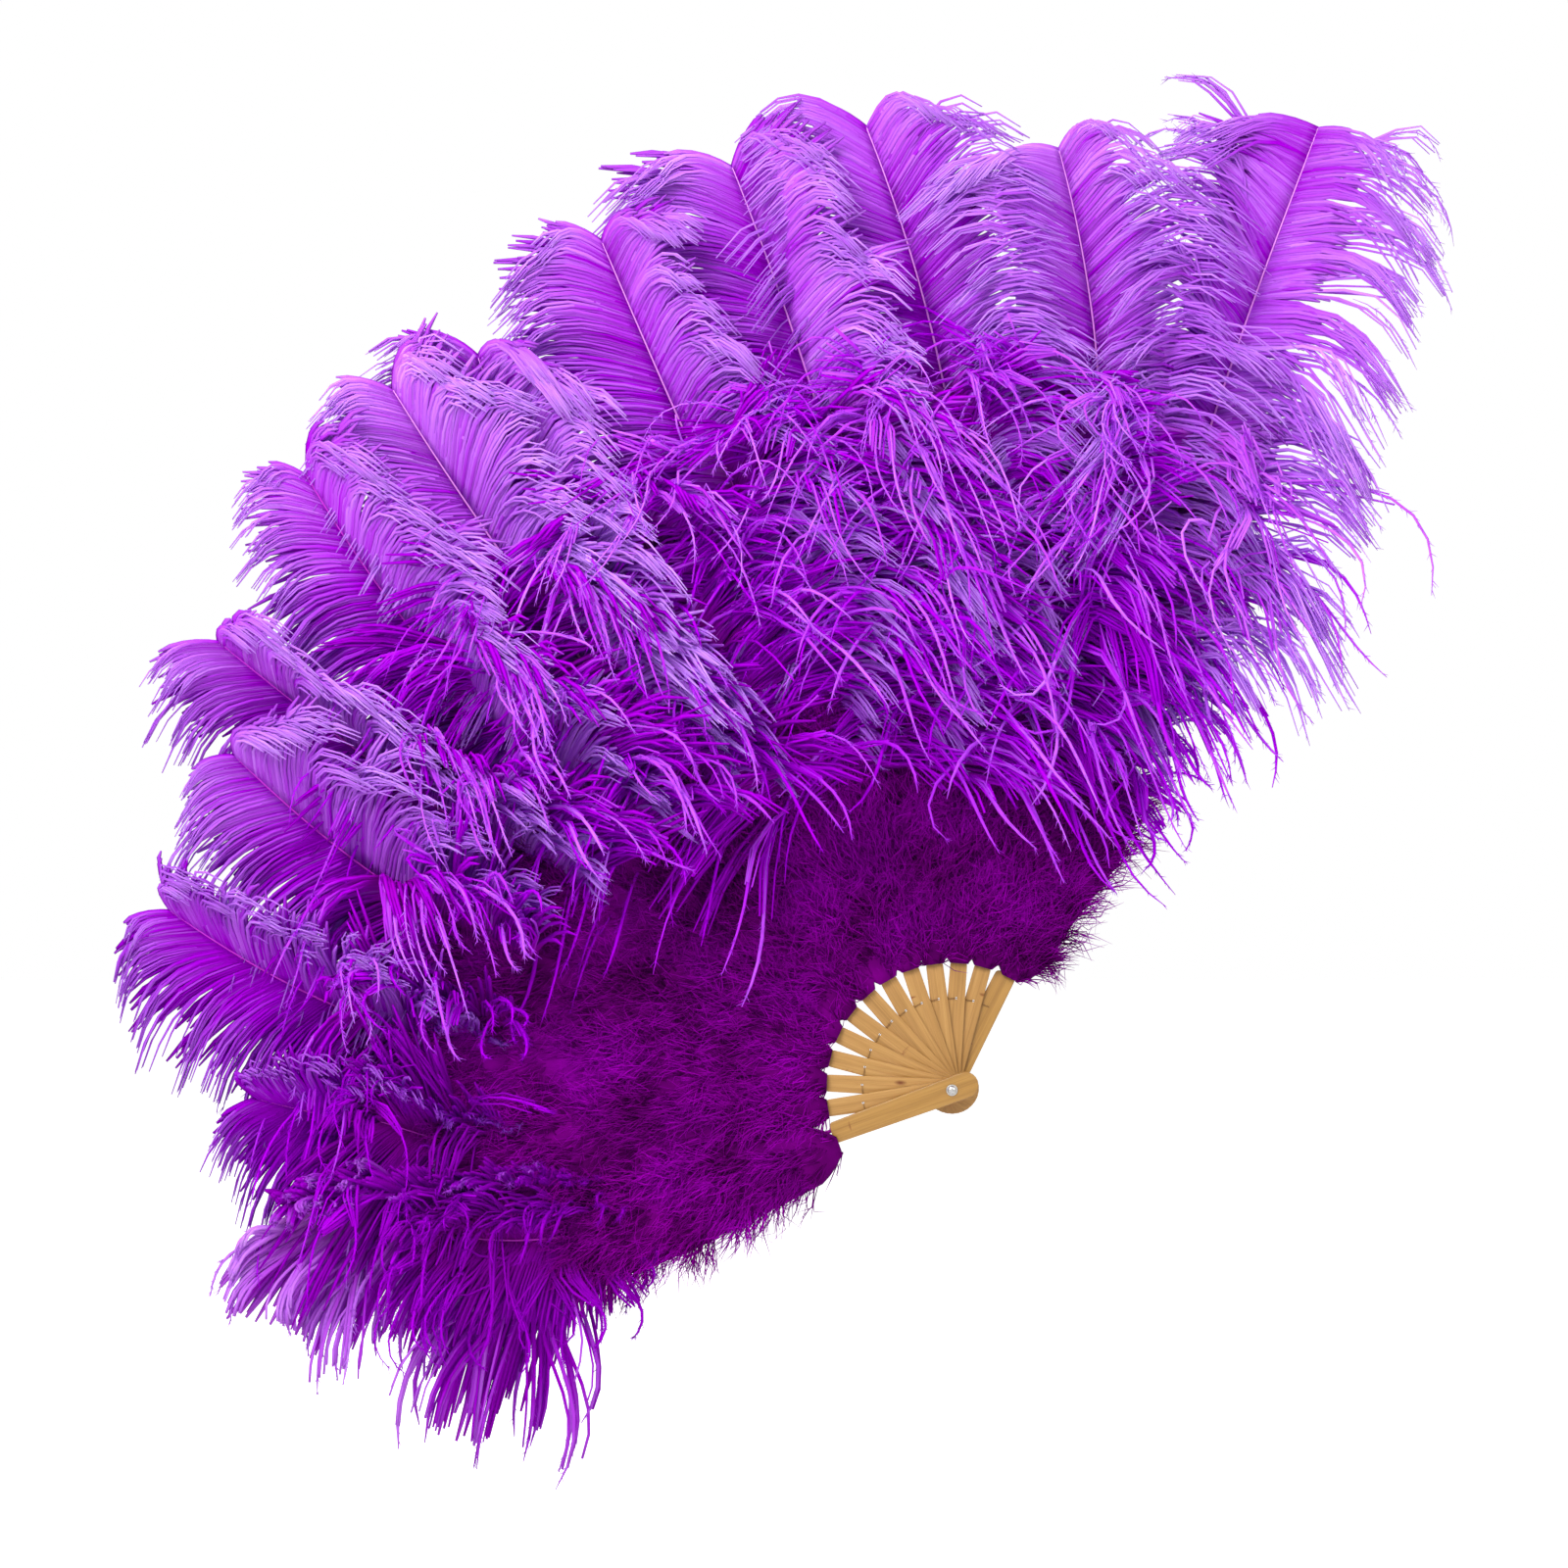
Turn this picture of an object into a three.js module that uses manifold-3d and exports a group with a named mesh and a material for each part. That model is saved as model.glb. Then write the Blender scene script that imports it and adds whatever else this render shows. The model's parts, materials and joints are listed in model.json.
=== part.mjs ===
// Folding ostrich-feather fan, open and held up by its rear guard. Bamboo sticks swing on one rivet, and a
// thread through them stops the swing at full spread. Each stick carries a long plume, a short plume and a
// marabou tuft, glued behind its outer end.
// Millimetres and degrees. X is right, Z is up and -Y faces the viewer. The rivet runs along Y, and the
// origin is on its axis, at the rear face of the rear guard. Distances along a stick are from the rivet.
import * as THREE from 'three';
import { mergeVertices } from 'three/addons/utils/BufferGeometryUtils.js';
import Module from 'manifold-3d';

const wasm = await Module();
wasm.setup();

// The spread of the sticks
const STICK_COUNT = 13; // two guards and the staves between them
const OPEN_ANGLE = 137; // from guard to guard, with the thread taut
const LEAN = 41.5; // from upright to the middle of the open fan, to the left

// Clearances
const SEAT_GAP = 0.3; // between a piece and what it lies on
const RUN_GAP = 0.4; // between flat layers that slide past each other
const VANE_GAP = 0.6; // between curved layers that slide past each other
const PIN_CLEARANCE = 0.3; // round the rivet's shank and its washers
const THREAD_CLEARANCE = 0.6; // round the thread

// Sticks
const STICK_REACH = 97; // to the tip
const STICK_TAIL = 21; // to the butt, on the other side of the rivet
const STAVE_TIP_WIDTH = 13;
const STAVE_ROOT_WIDTH = 15.5;
const GUARD_TIP_WIDTH = 16.5;
const GUARD_ROOT_WIDTH = 20;
const TIP_CORNER = 4;
const CURVE_STEPS = 5; // in each curve of a flat outline
const STICK_THICKNESS = 2.2; // at the rivet
const SEAT_THICKNESS = 1; // at the outer end, which is planed thin behind
const GUARD_EXTRA = 1.2; // more thickness on a guard's outer face
const GLUED_LENGTH = 23; // of quill behind the stick
const THREAD_SET_BACK = 6; // from the quills' feet to the thread
const PLANED_LENGTH = 14; // from the thread to the ramp
const PLANED_RAMP = 10;

// Rivet and thread
const SHANK_RADIUS = 1.6;
const HEAD_RADIUS = 3.4;
const HEAD_HEIGHT = 1.6;
const WASHER_RADIUS = 4.4;
const WASHER_THICKNESS = 0.7;
const PEEN_RADIUS = 2.6;
const PEEN_HEIGHT = 0.6;
const RIVET_FACETS = 16;
const DOME_STEPS = 4; // from the middle of the rivet's head to its rim
const SINK_FLOOR = 1.2; // bamboo left under the sunk rear washer
const THREAD_RADIUS = 0.3;
const THREAD_SIDES = 5;

// Feathers
const QUILL_WIDTH = 2.6;
const QUILL_THICKNESS = 1.1;
const QUILL_SPACING = 4; // between the two quills on one stick
const QUILL_CROSSING = 50; // over which a quill moves to the depth of its vane
const SHAFT_TIP_WIDTH = 1;
const SHAFT_STOP = 24; // from the shaft's end to the plume's tip
const SHAFT_RISE = 0.3; // in front of the vane
const VANE_THICKNESS = 0.5;
const OUTER_REACH_REAR = 735; // the long plume on the rear guard
const OUTER_REACH_FRONT = 515; // the long plume on the front guard
const INNER_REACH_REAR = 530;
const INNER_REACH_FRONT = 400;
const REACH_EASE = 2; // how late the reach falls off towards the front guard
const OUTER_HALF_WIDTH = 105;
const INNER_HALF_WIDTH = 85;
const HANG = 0.6; // how much wider a vane is on a side that faces the ground, where its barbs hang
const MARABOU_THICKNESS = 0.6;
const MARABOU_REACH = 250;
const MARABOU_HALF_WIDTH = 50;
const MARABOU_ROUNDNESS = 4; // of an outline: 2 is an ellipse, more is squarer
const PLUME_ROUNDNESS = 3;
const VANE_FOOT_WIDTH = 60;
const TUFTS = 7; // tufts of barbs along each side of a feather
const TUFT_NOTCH = 0.12; // depth between two tufts, as a share of the half width

// All the feathers lie on one dish round the rivet, so that they slide past each other as the fan folds.
const DISH_FROM = 160; // flat inside this radius
const DISH_BEND = 120; // from the flat to the cone
const DISH_SLOPE = 0.27; // of the cone, forward along the radius
const DISH_FACETS = 60; // round a whole turn

// Places along a stick
const QUILL_FROM = STICK_REACH - GLUED_LENGTH;
const THREAD_REACH = QUILL_FROM - THREAD_SET_BACK;
const PLANED_FROM = THREAD_REACH - PLANED_LENGTH - PLANED_RAMP;
const MARABOU_FROM = STICK_REACH + SEAT_GAP;
const INNER_VANE_FROM = MARABOU_REACH + SEAT_GAP;
const CROSSING_END = MARABOU_REACH + QUILL_CROSSING;
const OUTER_VANE_FROM = CROSSING_END + SEAT_GAP;

// Depths in one layer, which holds a stick and the feathers behind it, from the stick's front face
const QUILL_FRONT = Math.max(SEAT_THICKNESS, MARABOU_THICKNESS) + SEAT_GAP;
const LAYER = Math.max(
  STICK_THICKNESS + RUN_GAP,
  QUILL_FRONT + QUILL_THICKNESS + RUN_GAP,
  SEAT_THICKNESS + 2 * (THREAD_RADIUS + THREAD_CLEARANCE),
  2 * (VANE_THICKNESS + SHAFT_RISE + VANE_GAP),
);
const INNER_VANE_FRONT = LAYER / 4 - VANE_THICKNESS / 2;
const OUTER_VANE_FRONT = INNER_VANE_FRONT + LAYER / 2;
const SINK_DEPTH = PEEN_HEIGHT + WASHER_THICKNESS + 3 * SEAT_GAP;
const REAR_GUARD_BACK = Math.max(STICK_THICKNESS + GUARD_EXTRA, SINK_FLOOR + SINK_DEPTH);

const BAMBOO = { color: 0xcb9e5b, roughness: 0.45, metalness: 0 };
const GUARD_BAMBOO = { color: 0xc2964a, roughness: 0.35, metalness: 0 };
const STEEL = { color: 0xb9bcc0, roughness: 0.3, metalness: 1 };
const COTTON = { color: 0x9a7440, roughness: 0.9, metalness: 0 };
const LONG_PLUME = { color: 0xaf5aec, roughness: 0.8, metalness: 0 };
const SHORT_PLUME = { color: 0x9b28cb, roughness: 0.8, metalness: 0 };
const MARABOU = { color: 0x6a0474, roughness: 0.95, metalness: 0 };

function solidOf(geometry) {
  const bare = new THREE.BufferGeometry();
  bare.setAttribute('position', geometry.attributes.position);
  bare.setIndex(geometry.index);
  const welded = mergeVertices(bare);
  return new wasm.Manifold(new wasm.Mesh({
    numProp: 3,
    vertProperties: Float32Array.from(welded.attributes.position.array),
    triVerts: Uint32Array.from(welded.index.array),
  }));
}

function geometryOf(solid) {
  const cut = solid.getMesh();
  const geometry = new THREE.BufferGeometry();
  geometry.setAttribute('position', new THREE.BufferAttribute(cut.vertProperties, 3));
  geometry.setIndex(new THREE.BufferAttribute(cut.triVerts, 1));
  geometry.computeVertexNormals();
  return geometry;
}

function named(name, geometry, finish) {
  const mesh = new THREE.Mesh(geometry, new THREE.MeshStandardMaterial(finish));
  mesh.name = name;
  return mesh;
}

// Sticks are numbered from the front guard. Angles are from upright, to the left.
function stickAngle(number) {
  return LEAN + OPEN_ANGLE / 2 - OPEN_ANGLE * (number - 1) / (STICK_COUNT - 1);
}

function layerFront(number) {
  return -REAR_GUARD_BACK - (STICK_COUNT - number) * LAYER;
}

// An outline drawn with x across the stick and y along it, made solid between two depths.
function plate(outline, front, back) {
  const geometry = new THREE.ExtrudeGeometry(outline, {
    depth: back - front,
    bevelEnabled: false,
    curveSegments: CURVE_STEPS,
  });
  geometry.rotateX(Math.PI / 2);
  geometry.translate(0, back, 0);
  return solidOf(geometry);
}

function stickOutline(tipWidth, rootWidth) {
  const tip = tipWidth / 2;
  const root = rootWidth / 2;
  const outline = new THREE.Shape();
  outline.absarc(0, root - STICK_TAIL, root, Math.PI, 2 * Math.PI);
  outline.lineTo(tip, STICK_REACH - TIP_CORNER);
  outline.quadraticCurveTo(tip, STICK_REACH, tip - TIP_CORNER, STICK_REACH);
  outline.lineTo(TIP_CORNER - tip, STICK_REACH);
  outline.quadraticCurveTo(-tip, STICK_REACH, -tip, STICK_REACH - TIP_CORNER);
  outline.closePath();
  return outline;
}

function disc(distance, radius) {
  return new THREE.Shape().absarc(0, distance, radius, 0, 2 * Math.PI);
}

// What the plane takes off behind a stick's outer end, drawn from the side and run across the stick.
function planing(back) {
  const side = new THREE.Shape([
    new THREE.Vector2(PLANED_FROM, STICK_THICKNESS),
    new THREE.Vector2(PLANED_FROM + PLANED_RAMP, SEAT_THICKNESS),
    new THREE.Vector2(2 * STICK_REACH, SEAT_THICKNESS),
    new THREE.Vector2(2 * STICK_REACH, 2 * back),
    new THREE.Vector2(PLANED_FROM, 2 * back),
  ]);
  const across = 2 * Math.max(GUARD_ROOT_WIDTH, GUARD_TIP_WIDTH, STAVE_ROOT_WIDTH, STAVE_TIP_WIDTH);
  const geometry = new THREE.ExtrudeGeometry(side, { depth: across, bevelEnabled: false });
  geometry.rotateY(-Math.PI / 2);
  geometry.translate(across / 2, 0, 0);
  return solidOf(geometry);
}

function stick(tipWidth, rootWidth, front, back) {
  const blank = plate(stickOutline(tipWidth, rootWidth), front, back).subtract(planing(back));
  const hole = plate(disc(0, SHANK_RADIUS + PIN_CLEARANCE), front - STICK_THICKNESS, 2 * back);
  return blank.subtract(hole);
}

function stave() {
  const hole = plate(disc(THREAD_REACH, THREAD_RADIUS + THREAD_CLEARANCE), -LAYER, LAYER);
  return stick(STAVE_TIP_WIDTH, STAVE_ROOT_WIDTH, 0, STICK_THICKNESS).subtract(hole);
}

function frontGuard() {
  return stick(GUARD_TIP_WIDTH, GUARD_ROOT_WIDTH, -GUARD_EXTRA, STICK_THICKNESS);
}

// The peened end of the rivet and its washer lie sunk in the rear guard.
function rearGuard() {
  const sink = plate(
    disc(0, WASHER_RADIUS + PIN_CLEARANCE),
    REAR_GUARD_BACK - SINK_DEPTH,
    2 * REAR_GUARD_BACK,
  );
  return stick(GUARD_TIP_WIDTH, GUARD_ROOT_WIDTH, 0, REAR_GUARD_BACK).subtract(sink);
}

const FRONT_FACE = layerFront(1) - GUARD_EXTRA;
const HEAD_BASE = FRONT_FACE - WASHER_THICKNESS - 2 * SEAT_GAP;
function rivetPin() {
  const dome = new THREE.EllipseCurve(0, HEAD_BASE, HEAD_RADIUS, HEAD_HEIGHT, -Math.PI / 2, 0);
  const profile = [
    ...dome.getPoints(DOME_STEPS),
    new THREE.Vector2(SHANK_RADIUS, HEAD_BASE),
    new THREE.Vector2(SHANK_RADIUS, -SEAT_GAP - PEEN_HEIGHT),
    new THREE.Vector2(PEEN_RADIUS, -SEAT_GAP - PEEN_HEIGHT),
    new THREE.Vector2(PEEN_RADIUS, -SEAT_GAP),
    new THREE.Vector2(0, -SEAT_GAP),
  ];
  profile[0].setX(0);
  return new THREE.LatheGeometry(profile, RIVET_FACETS);
}

function washer(front) {
  const bore = SHANK_RADIUS + PIN_CLEARANCE;
  const back = front + WASHER_THICKNESS;
  return new THREE.LatheGeometry([
    new THREE.Vector2(bore, front),
    new THREE.Vector2(WASHER_RADIUS, front),
    new THREE.Vector2(WASHER_RADIUS, back),
    new THREE.Vector2(bore, back),
    new THREE.Vector2(bore, front),
  ], RIVET_FACETS);
}

// The thread goes through each stave and on to the next one, and ends glued inside the two guards. Each
// stretch but the last runs on a little past its bend, so that no bend is open.
function tieThread() {
  const gapMiddle = (SEAT_THICKNESS + LAYER) / 2;
  const place = (number, depth) => {
    const turn = THREE.MathUtils.degToRad(stickAngle(number));
    return new THREE.Vector3(
      -THREAD_REACH * Math.sin(turn),
      layerFront(number) + depth,
      THREAD_REACH * Math.cos(turn),
    );
  };
  const route = [place(1, SEAT_THICKNESS + SEAT_GAP)];
  for (let number = 1; number < STICK_COUNT; number += 1) {
    route.push(place(number, gapMiddle), place(number + 1, gapMiddle - LAYER));
  }
  route.push(place(STICK_COUNT, -SEAT_GAP));
  const stretches = route.slice(1).map((end, index) => {
    const start = route[index];
    const runOn = index < route.length - 2 ? THREAD_RADIUS / 2 : 0;
    const along = end.clone().sub(start);
    const geometry = new THREE.CylinderGeometry(
      THREAD_RADIUS,
      THREAD_RADIUS,
      along.length() + runOn,
      THREAD_SIDES,
    );
    geometry.translate(0, (along.length() + runOn) / 2, 0);
    geometry.applyQuaternion(new THREE.Quaternion().setFromUnitVectors(
      new THREE.Vector3(0, 1, 0),
      along.normalize(),
    ));
    geometry.translate(start.x, start.y, start.z);
    return solidOf(geometry);
  });
  return wasm.Manifold.union(stretches);
}

// How far in front of its stick the dish lies. It has half the cone's slope over the bend.
function dishDepth(radius) {
  const bend = THREE.MathUtils.clamp(radius - DISH_FROM, 0, DISH_BEND);
  const cone = Math.max(0, radius - DISH_FROM - DISH_BEND);
  return DISH_SLOPE * (bend / 2 + cone);
}

// A whole ring of the dish, between two depths in the layer that may change at the given bends. Its edge is
// well outside every plume's tip.
const RING_EDGE = 1.5 * Math.max(OUTER_REACH_REAR, OUTER_REACH_FRONT, INNER_REACH_REAR, INNER_REACH_FRONT);
function dishRing(from, bends, frontAt, backAt) {
  const radii = [from, ...bends, DISH_FROM, DISH_FROM + DISH_BEND, RING_EDGE];
  const rising = [...new Set(radii)].filter((radius) => radius >= from).sort((a, b) => a - b);
  const front = rising.map((radius) => new THREE.Vector2(radius, frontAt(radius) - dishDepth(radius)));
  const back = rising.map((radius) => new THREE.Vector2(radius, backAt(radius) - dishDepth(radius)));
  return solidOf(new THREE.LatheGeometry([...front, ...back.reverse(), front[0].clone()], DISH_FACETS));
}

// From its depth behind the marabou, a quill crosses to the depth of its vane.
function shaftRing(vaneFront) {
  const share = (radius) => THREE.MathUtils.clamp((radius - MARABOU_REACH) / QUILL_CROSSING, 0, 1);
  const crossing = (quill, vane) => (radius) => THREE.MathUtils.lerp(quill, vane, share(radius));
  return dishRing(
    QUILL_FROM / 2,
    [MARABOU_REACH, CROSSING_END],
    crossing(QUILL_FRONT, vaneFront - SHAFT_RISE),
    crossing(QUILL_FRONT + QUILL_THICKNESS, vaneFront + VANE_THICKNESS),
  );
}

function sheetRing(from, front, thickness) {
  return dishRing(from / 2, [], () => front, () => front + thickness);
}

// A feather's outline from its foot to its tip, tufted along both sides.
function featherOutline(from, reach, roundness, foot, leftWidth, rightWidth) {
  const edge = (side, width, step) => {
    const along = step / (2 * TUFTS);
    const swell = (1 - Math.abs(2 * along - 1) ** roundness) ** (1 / roundness);
    const notch = step % 2 === 0 ? 1 - TUFT_NOTCH : 1;
    const reached = Math.max(foot / 2 * (1 - 2 * along), width * swell * notch);
    return new THREE.Vector2(side * reached, THREE.MathUtils.lerp(from, reach, along));
  };
  const steps = Array.from({ length: 2 * TUFTS }, (_, step) => step);
  const right = steps.map((step) => edge(1, rightWidth, step));
  const left = steps.map((step) => edge(-1, leftWidth, step));
  return new THREE.Shape([...right, new THREE.Vector2(0, reach), ...left.reverse()]);
}

function shaftOutline(reach, offset) {
  return new THREE.Shape([
    new THREE.Vector2(offset - QUILL_WIDTH / 2, QUILL_FROM),
    new THREE.Vector2(offset + QUILL_WIDTH / 2, QUILL_FROM),
    new THREE.Vector2(offset + SHAFT_TIP_WIDTH / 2, reach - SHAFT_STOP),
    new THREE.Vector2(offset - SHAFT_TIP_WIDTH / 2, reach - SHAFT_STOP),
  ]);
}

function cutFrom(ring, outline) {
  return ring.intersect(plate(outline, -2 * dishDepth(RING_EDGE) - LAYER, 2 * LAYER));
}

// A plume is a shaft with a vane that is wider on the side that faces the ground.
function plume(kind, number) {
  const turn = THREE.MathUtils.degToRad(stickAngle(number));
  const fromRear = (STICK_COUNT - number) / (STICK_COUNT - 1);
  const reach = THREE.MathUtils.lerp(kind.reachRear, kind.reachFront, fromRear ** REACH_EASE);
  const left = kind.halfWidth * (1 + HANG * Math.max(0, Math.sin(turn)));
  const right = kind.halfWidth * (1 + HANG * Math.max(0, -Math.sin(turn)));
  const outline = featherOutline(kind.from, reach, PLUME_ROUNDNESS, VANE_FOOT_WIDTH, left, right);
  const vane = cutFrom(kind.vaneRing, outline);
  return vane.add(cutFrom(kind.shaftRing, shaftOutline(reach, kind.offset)));
}

const LONG = {
  from: OUTER_VANE_FROM,
  reachRear: OUTER_REACH_REAR,
  reachFront: OUTER_REACH_FRONT,
  halfWidth: OUTER_HALF_WIDTH,
  offset: QUILL_SPACING / 2,
  vaneRing: sheetRing(OUTER_VANE_FROM, OUTER_VANE_FRONT, VANE_THICKNESS),
  shaftRing: shaftRing(OUTER_VANE_FRONT),
};
const SHORT = {
  from: INNER_VANE_FROM,
  reachRear: INNER_REACH_REAR,
  reachFront: INNER_REACH_FRONT,
  halfWidth: INNER_HALF_WIDTH,
  offset: -QUILL_SPACING / 2,
  vaneRing: sheetRing(INNER_VANE_FROM, INNER_VANE_FRONT, VANE_THICKNESS),
  shaftRing: shaftRing(INNER_VANE_FRONT),
};
const DOWN_RING = sheetRing(MARABOU_FROM, 0, MARABOU_THICKNESS);

function marabou() {
  const outline = featherOutline(
    MARABOU_FROM,
    MARABOU_REACH,
    MARABOU_ROUNDNESS,
    STAVE_TIP_WIDTH - TIP_CORNER,
    MARABOU_HALF_WIDTH,
    MARABOU_HALF_WIDTH,
  );
  return cutFrom(DOWN_RING, outline);
}

function stickMesh(number, label) {
  if (number === 1) {
    return named('front_guard', geometryOf(frontGuard()), GUARD_BAMBOO);
  }
  if (number === STICK_COUNT) {
    return named('rear_guard', geometryOf(rearGuard()), GUARD_BAMBOO);
  }
  return named(`stave_${label}`, geometryOf(stave()), BAMBOO);
}

const fan = new THREE.Group();
for (let number = 1; number <= STICK_COUNT; number += 1) {
  const label = String(number).padStart(2, '0');
  const leaf = new THREE.Group();
  leaf.add(
    stickMesh(number, label),
    named(`outer_plume_${label}`, geometryOf(plume(LONG, number)), LONG_PLUME),
    named(`inner_plume_${label}`, geometryOf(plume(SHORT, number)), SHORT_PLUME),
    named(`marabou_${label}`, geometryOf(marabou()), MARABOU),
  );
  leaf.rotation.y = -THREE.MathUtils.degToRad(stickAngle(number));
  leaf.position.y = layerFront(number);
  fan.add(leaf);
}
fan.add(
  named('rivet_pin', rivetPin(), STEEL),
  named('front_washer', washer(HEAD_BASE + SEAT_GAP), STEEL),
  named('rear_washer', washer(SEAT_GAP - SINK_DEPTH), STEEL),
  named('tie_thread', geometryOf(tieThread()), COTTON),
);

export default fan;
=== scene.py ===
import json
import math
from collections import namedtuple

import bpy
import numpy as np
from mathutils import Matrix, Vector


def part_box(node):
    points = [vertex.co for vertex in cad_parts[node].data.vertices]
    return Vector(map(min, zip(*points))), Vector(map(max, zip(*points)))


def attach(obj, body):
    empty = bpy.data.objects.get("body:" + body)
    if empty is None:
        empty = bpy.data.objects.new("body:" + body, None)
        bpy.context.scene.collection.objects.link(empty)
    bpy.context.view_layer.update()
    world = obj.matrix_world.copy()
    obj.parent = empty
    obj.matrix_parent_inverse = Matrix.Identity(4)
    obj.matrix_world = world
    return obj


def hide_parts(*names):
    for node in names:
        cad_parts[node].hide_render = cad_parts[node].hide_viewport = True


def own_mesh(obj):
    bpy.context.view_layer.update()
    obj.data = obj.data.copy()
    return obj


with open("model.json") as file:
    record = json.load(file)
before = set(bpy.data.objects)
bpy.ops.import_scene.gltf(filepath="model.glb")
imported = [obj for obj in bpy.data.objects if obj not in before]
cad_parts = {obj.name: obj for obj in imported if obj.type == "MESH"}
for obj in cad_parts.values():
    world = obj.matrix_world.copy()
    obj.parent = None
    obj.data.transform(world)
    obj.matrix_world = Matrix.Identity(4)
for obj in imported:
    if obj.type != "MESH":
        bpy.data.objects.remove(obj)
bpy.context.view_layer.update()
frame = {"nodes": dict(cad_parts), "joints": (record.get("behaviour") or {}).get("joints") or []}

# The sticks are split bamboo, planed flat and left bare, between two guards that are wider, thicker and
# polished. All thirteen turn on one rivet. A stick and what is glued to it make one leaf, and each leaf lies
# behind the one before it. Lengths here are in millimetres, and angles are from upright, to the left.
MM = 0.001
STICK_COUNT = 13
OPEN_ANGLE = next(joint["range_deg"][1] for joint in frame["joints"] if joint["name"] == "front_guard_swing")
LEAN = 41.5  # of the middle of the open fan
MARABOU_SHEET = 0.6  # thickness of a packed marabou sheet, whose front is level with its stick's
STAVE_EASE = 0.25  # rounding of the edges
GUARD_EASE = 0.9
GRAIN_STEP = np.array([37.0, 11.0, 250.0])  # from one stick's part of the grain to the next one's
KNOT_LEAF = 3
KNOT_PLACE = (3, 39)  # across the stick and along it
KNOT_SIZE = (2.4, 5.5)

Leaf = namedtuple("Leaf", "number label body stick angle front")
leaves = []
for number in range(1, STICK_COUNT + 1):
    label = f"{number:02d}"
    names = {1: ("front_leaf", "front_guard"), STICK_COUNT: ("rear_leaf", "rear_guard")}
    body, stick = names.get(number, (f"leaf_{label}", f"stave_{label}"))
    angle = math.radians(LEAN + OPEN_ANGLE / 2 - OPEN_ANGLE * (number - 1) / (STICK_COUNT - 1))
    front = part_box(f"marabou_{label}")[1].y / MM - MARABOU_SHEET
    leaves.append(Leaf(number, label, body, stick, angle, front))


def linear(hex_colour, alpha=1.0):
    channels = [int(hex_colour[at:at + 2], 16) / 255 for at in (1, 3, 5)]
    return (*(c / 12.92 if c <= 0.04045 else ((c + 0.055) / 1.055) ** 2.4 for c in channels), alpha)


def add_node(material, kind, inputs=None, **settings):
    """Adds a node. Settings are its own properties, and each input is given a value or another node's socket."""
    tree = material.node_tree
    new = tree.nodes.new(kind)
    for name, value in settings.items():
        setattr(new, name, value)
    for socket, value in (inputs or {}).items():
        if isinstance(value, bpy.types.NodeSocket):
            tree.links.new(value, new.inputs[socket])
        else:
            new.inputs[socket].default_value = value
    return new


def new_material(name):
    material = bpy.data.materials.new(name)
    material.use_nodes = True
    material.node_tree.nodes.clear()
    return material


def colours_along(material, share, stops):
    """A colour ramp over a share from 0 to 1, with its stops as (place, colour)."""
    ramp = add_node(material, "ShaderNodeValToRGB", {"Fac": share})
    while len(ramp.color_ramp.elements) < len(stops):
        ramp.color_ramp.elements.new(1.0)
    for element, (place, colour) in zip(ramp.color_ramp.elements, stops):
        element.position = place
        element.color = linear(colour)
    return ramp.outputs["Color"]


def bamboo(name, pale, mid, dark, roughness, coat):
    """Planed bamboo: straight fibres, broader streaks and now and then a brown node mark, under a dull sheen. The
    real fibres are half a millimetre wide or less, and are drawn 0.9 mm wide so that they show."""
    material = new_material(name)
    grain = add_node(material, "ShaderNodeAttribute", attribute_name="grain").outputs["Vector"]
    patterns = []
    for width, length, settings in (
        (0.9, 60, {"Detail": 3.0, "Roughness": 0.6}),  # fibres
        (5, 140, {"Detail": 2.0}),  # streaks
        (26, 9, {"Detail": 2.0, "Distortion": 0.4}),  # node marks
    ):
        place = add_node(material, "ShaderNodeMapping", {
            "Vector": grain, "Scale": (1 / width, 1 / width, 1 / length),
        })
        noise = add_node(material, "ShaderNodeTexNoise", {
            "Vector": place.outputs["Vector"], "Scale": 1.0, **settings,
        })
        patterns.append(noise.outputs["Fac"])
    fibre, streak, mark = patterns
    both = add_node(material, "ShaderNodeMix", {"Factor": 0.45, "A": fibre, "B": streak}, data_type="FLOAT")
    wood = colours_along(material, both.outputs["Result"], [(0.3, dark), (0.5, mid), (0.7, pale)])
    marked = colours_along(material, mark, [(0.70, "#FFFFFF"), (0.78, "#B98A58")])
    faint = add_node(material, "ShaderNodeMix", {
        "Factor": 1.0, "A": wood, "B": marked,
    }, data_type="RGBA", blend_type="MULTIPLY")

    across, along = np.array(KNOT_PLACE) + KNOT_LEAF * GRAIN_STEP[[0, 2]]
    wide, long = KNOT_SIZE
    knot_place = add_node(material, "ShaderNodeMapping", {"Vector": grain, "Scale": (1 / wide, 0, 1 / long)})
    knot = add_node(material, "ShaderNodeVectorMath", {
        0: knot_place.outputs["Vector"], 1: (across / wide, 0, along / long),
    }, operation="DISTANCE")
    brown = colours_along(material, knot.outputs["Value"], [(0.2, "#A0703C"), (1.0, "#FFFFFF")])
    colour = add_node(material, "ShaderNodeMix", {
        "Factor": 1.0, "A": faint.outputs["Result"], "B": brown,
    }, data_type="RGBA", blend_type="MULTIPLY")
    rough = add_node(material, "ShaderNodeMapRange", {
        "Value": fibre, "From Min": 0.3, "From Max": 0.7,
        "To Min": roughness - 0.08, "To Max": roughness + 0.1,
    })
    bump = add_node(material, "ShaderNodeBump", {"Height": fibre, "Strength": 0.25, "Distance": 0.15 * MM})
    shader = add_node(material, "ShaderNodeBsdfPrincipled", {
        "Base Color": colour.outputs["Result"], "Roughness": rough.outputs["Result"],
        "Normal": bump.outputs["Normal"], "IOR": 1.5, "Coat Weight": coat, "Coat Roughness": 0.3,
    })
    add_node(material, "ShaderNodeOutputMaterial", {"Surface": shader.outputs["BSDF"]})
    return material


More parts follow.
